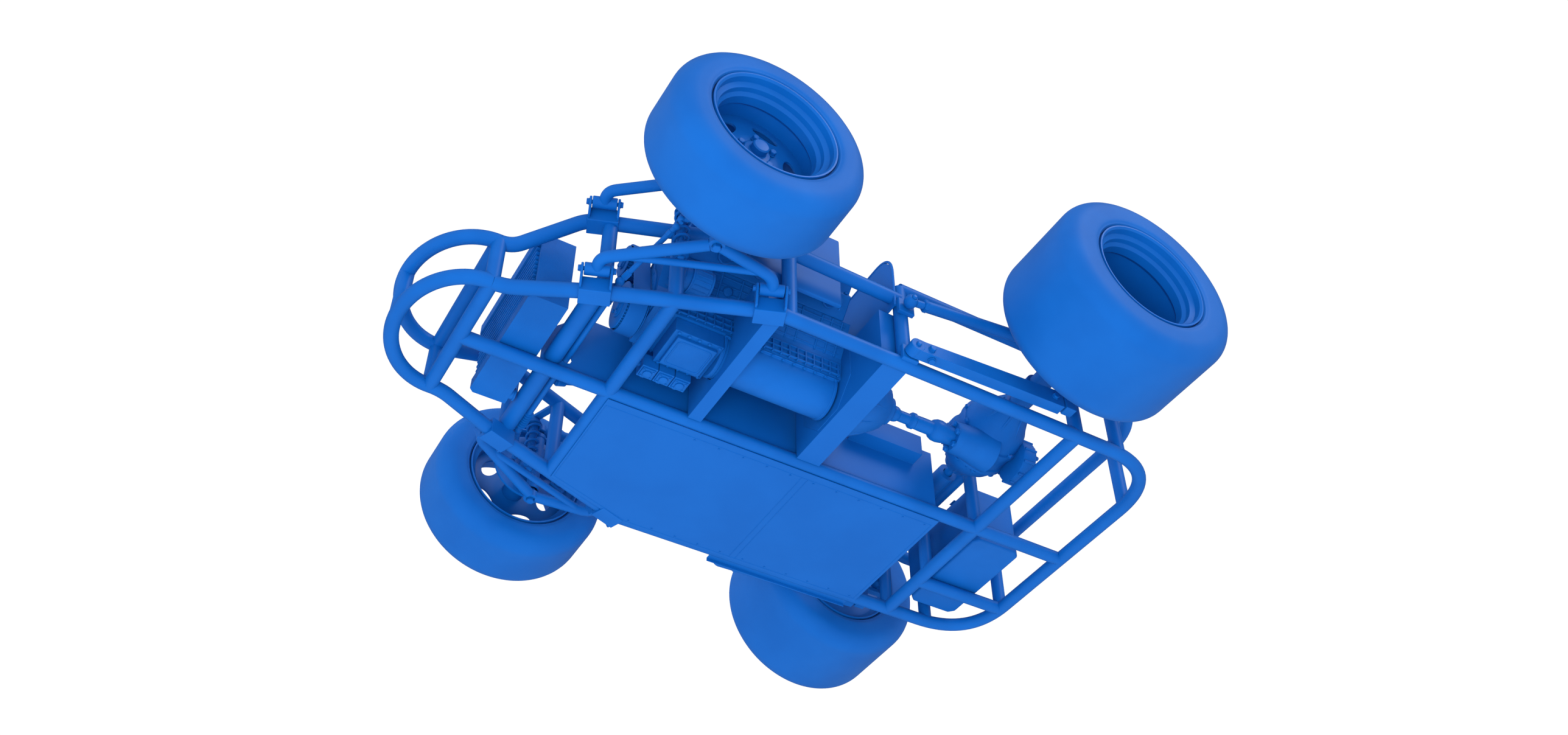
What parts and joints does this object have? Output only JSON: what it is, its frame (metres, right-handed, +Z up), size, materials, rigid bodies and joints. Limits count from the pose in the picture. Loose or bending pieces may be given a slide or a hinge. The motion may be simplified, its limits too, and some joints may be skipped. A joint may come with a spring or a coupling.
{
  "type": "racing kart chassis",
  "caption": "Racing kart chassis: tube frame with offset V-engine, wishbone front suspension, live rear axle on a torque tube and wide slick tyres.",
  "frame": {"origin": "on the ground under the middle of the bounding box", "axes": "+X forward, +Y to the driver's left, +Z up"},
  "size_m": [2.586, 2.252, 0.678],
  "materials": {
    "tyre": "satin",
    "wheel_rim": "satin",
    "belt": "satin",
    "engine_casting": "satin",
    "radiator": "satin",
    "sheet": "satin",
    "fuel_cell": "satin",
    "seat": "satin",
    "frame": "satin",
    "axle": "satin",
    "pulley": "satin",
    "spring": "satin",
    "damper": "satin",
    "chassis_part": "satin"
  },
  "bodies": {
    "chassis": {"frame_nose": "frame", "frame_side_left": "frame", "frame_side_right": "frame", "frame_tail": "frame", "frame_floor": "frame", "floor_pan": "sheet", "tunnel_wall": "sheet", "side_panel_left": "sheet", "radiator_tanks": "radiator", "radiator_core": "radiator", "engine_block": "engine_casting", "cylinder_head_left": "engine_casting", "cylinder_head_right": "engine_casting", "intake_manifold": "engine_casting", "oil_pan": "engine_casting", "drive_belt": "belt", "cowl_panel": "sheet", "engine_mount_front": "sheet", "engine_mount_rear": "sheet", "bellhousing": "engine_casting", "fuel_cell": "fuel_cell", "seat": "seat", "spring_front_left": "spring", "damper_front_left": "damper", "spring_front_right": "spring", "damper_front_right": "damper", "spring_rear_left": "spring", "damper_rear_left": "damper", "spring_rear_right": "spring", "damper_rear_right": "damper"},
    "steering_wheel": {"steering_wheel": "chassis_part"},
    "steering_rack": {"steering_rack": "chassis_part"},
    "crank_pulley": {"crank_pulley": "pulley"},
    "upper_pulley": {"upper_pulley": "pulley"},
    "axle_housing": {"axle_housing": "axle"},
    "rear_wheels": {"axle_shaft": "chassis_part", "rim_rear_left": "wheel_rim", "rim_rear_right": "wheel_rim", "tyre_rear_left": "tyre", "tyre_rear_right": "tyre"},
    "lower_wishbone_left": {"wishbone_lower_left": "chassis_part"},
    "upper_wishbone_left": {"wishbone_upper_left": "chassis_part"},
    "kingpin_left": {"kingpin_left": "chassis_part"},
    "knuckle_left": {"knuckle_left": "chassis_part"},
    "front_wheel_left": {"rim_front_left": "wheel_rim", "tyre_front_left": "tyre"},
    "front_damper_rod_left": {"damper_rod_front_left": "damper"},
    "trailing_arm_left": {"trailing_arm_left": "chassis_part"},
    "upper_link_left": {"upper_link_left": "chassis_part"},
    "rear_damper_rod_left": {"damper_rod_rear_left": "damper"},
    "lower_wishbone_right": {"wishbone_lower_right": "chassis_part"},
    "upper_wishbone_right": {"wishbone_upper_right": "chassis_part"},
    "kingpin_right": {"kingpin_right": "chassis_part"},
    "knuckle_right": {"knuckle_right": "chassis_part"},
    "front_wheel_right": {"rim_front_right": "wheel_rim", "tyre_front_right": "tyre"},
    "front_damper_rod_right": {"damper_rod_front_right": "damper"},
    "trailing_arm_right": {"trailing_arm_right": "chassis_part"},
    "upper_link_right": {"upper_link_right": "chassis_part"},
    "rear_damper_rod_right": {"damper_rod_rear_right": "damper"}
  },
  "joints": [
    {"name": "wishbone_left", "type": "hinge", "parent": "chassis", "child": "lower_wishbone_left", "pos_m": [0.4852, 0.5511, 0.136], "axis": [0.9347, -0.3553, 0], "range_deg": [-8, 8], "stiffness_Nm_per_rad": 2600, "springref_deg": -6.02},
    {"name": "upper_wishbone_left", "type": "hinge", "parent": "chassis", "child": "upper_wishbone_left", "pos_m": [0.4852, 0.5511, 0.444], "axis": [0.9347, -0.3553, 0], "range_deg": [-8.5, 8.5]},
    {"name": "kingpin_left", "type": "hinge", "parent": "lower_wishbone_left", "child": "kingpin_left", "pos_m": [0.538, 0.69, 0.15], "axis": [0.9347, -0.3553, 0], "range_deg": [-8.5, 8.5]},
    {"name": "steer_left", "type": "hinge", "parent": "kingpin_left", "child": "knuckle_left", "pos_m": [0.538, 0.69, 0.3], "axis": [0, 0, 1], "range_deg": [-18, 18]},
    {"name": "front_wheel_spin_left", "type": "hinge", "parent": "knuckle_left", "child": "front_wheel_left", "pos_m": [0.538, 0.917, 0.3225], "axis": [0, 1, 0], "continuous": true},
    {"name": "front_damper_left", "type": "slide", "parent": "chassis", "child": "front_damper_rod_left", "axis": [0, 0, 1], "range_m": [-0.0095, 0.0095], "deforming": ["spring_front_left"]},
    {"name": "wishbone_right", "type": "hinge", "parent": "chassis", "child": "lower_wishbone_right", "pos_m": [0.4852, -0.5511, 0.136], "axis": [-0.9347, -0.3553, 0], "range_deg": [-8, 8], "stiffness_Nm_per_rad": 2600, "springref_deg": -6.02},
    {"name": "upper_wishbone_right", "type": "hinge", "parent": "chassis", "child": "upper_wishbone_right", "pos_m": [0.4852, -0.5511, 0.444], "axis": [-0.9347, -0.3553, 0], "range_deg": [-8.5, 8.5]},
    {"name": "kingpin_right", "type": "hinge", "parent": "lower_wishbone_right", "child": "kingpin_right", "pos_m": [0.538, -0.69, 0.15], "axis": [-0.9347, -0.3553, 0], "range_deg": [-8.5, 8.5]},
    {"name": "steer_right", "type": "hinge", "parent": "kingpin_right", "child": "knuckle_right", "pos_m": [0.538, -0.69, 0.3], "axis": [0, 0, 1], "range_deg": [-18.5, 18.5]},
    {"name": "front_wheel_spin_right", "type": "hinge", "parent": "knuckle_right", "child": "front_wheel_right", "pos_m": [0.538, -0.917, 0.3225], "axis": [0, 1, 0], "continuous": true},
    {"name": "front_damper_right", "type": "slide", "parent": "chassis", "child": "front_damper_rod_right", "axis": [0, 0, 1], "range_m": [-0.0095, 0.0095], "deforming": ["spring_front_right"]},
    {"name": "steering_column", "type": "hinge", "parent": "chassis", "child": "steering_wheel", "pos_m": [0.14, -0.289, 0.52], "axis": [-0.8439, -0.2121, 0.4929], "range_deg": [-61, 61]},
    {"name": "rack", "type": "slide", "parent": "chassis", "child": "steering_rack", "axis": [0, 1, 0], "range_m": [-0.031, 0.031]},
    {"name": "axle_hinge", "type": "hinge", "parent": "chassis", "child": "axle_housing", "pos_m": [-0.4, 0.228, 0.25], "axis": [0, 1, 0], "range_deg": [-3, 3], "stiffness_Nm_per_rad": 42000, "springref_deg": -2.06},
    {"name": "rear_wheel_spin", "type": "hinge", "parent": "axle_housing", "child": "rear_wheels", "pos_m": [-0.812, 0, 0.339], "axis": [0, 1, 0], "continuous": true},
    {"name": "trailing_arm_left", "type": "hinge", "parent": "chassis", "child": "trailing_arm_left", "pos_m": [-0.201, 0.64, 0.118], "axis": [0, 1, 0], "range_deg": [-2.2, 2.2]},
    {"name": "upper_link_left", "type": "hinge", "parent": "chassis", "child": "upper_link_left", "pos_m": [-0.201, 0.64, 0.33], "axis": [0, 1, 0], "range_deg": [-2.2, 2.2]},
    {"name": "rear_damper_left", "type": "slide", "parent": "chassis", "child": "rear_damper_rod_left", "axis": [0, 0, 1], "range_m": [-0.027, 0.027], "deforming": ["spring_rear_left"]},
    {"name": "trailing_arm_right", "type": "hinge", "parent": "chassis", "child": "trailing_arm_right", "pos_m": [-0.201, -0.64, 0.118], "axis": [0, 1, 0], "range_deg": [-2.2, 2.2]},
    {"name": "upper_link_right", "type": "hinge", "parent": "chassis", "child": "upper_link_right", "pos_m": [-0.201, -0.64, 0.33], "axis": [0, 1, 0], "range_deg": [-2.2, 2.2]},
    {"name": "rear_damper_right", "type": "slide", "parent": "chassis", "child": "rear_damper_rod_right", "axis": [0, 0, 1], "range_m": [-0.027, 0.027], "deforming": ["spring_rear_right"]},
    {"name": "crank", "type": "hinge", "parent": "chassis", "child": "crank_pulley", "pos_m": [0.605, 0.228, 0.25], "axis": [1, 0, 0], "continuous": true},
    {"name": "upper_pulley_spin", "type": "hinge", "parent": "chassis", "child": "upper_pulley", "pos_m": [0.605, 0.228, 0.455], "axis": [1, 0, 0], "continuous": true}
  ],
  "couplings": [
    {"joint": "upper_wishbone_left", "follows": "wishbone_left", "ratio": 1},
    {"joint": "kingpin_left", "follows": "wishbone_left", "ratio": -1},
    {"joint": "front_damper_left", "follows": "wishbone_left", "m_per_rad": 0.062},
    {"joint": "upper_wishbone_right", "follows": "wishbone_right", "ratio": 1},
    {"joint": "kingpin_right", "follows": "wishbone_right", "ratio": -1},
    {"joint": "front_damper_right", "follows": "wishbone_right", "m_per_rad": 0.062},
    {"joint": "steer_right", "follows": "steer_left", "ratio": 1},
    {"joint": "steering_column", "follows": "steer_left", "ratio": 3.3333},
    {"joint": "rack", "follows": "steer_left", "m_per_rad": 0.09549},
    {"joint": "trailing_arm_left", "follows": "axle_hinge", "ratio": 0.68},
    {"joint": "upper_link_left", "follows": "axle_hinge", "ratio": 0.68},
    {"joint": "rear_damper_left", "follows": "axle_hinge", "m_per_rad": 0.498},
    {"joint": "trailing_arm_right", "follows": "axle_hinge", "ratio": 0.68},
    {"joint": "upper_link_right", "follows": "axle_hinge", "ratio": 0.68},
    {"joint": "rear_damper_right", "follows": "axle_hinge", "m_per_rad": 0.498},
    {"joint": "upper_pulley_spin", "follows": "crank", "ratio": 1.4545}
  ]
}
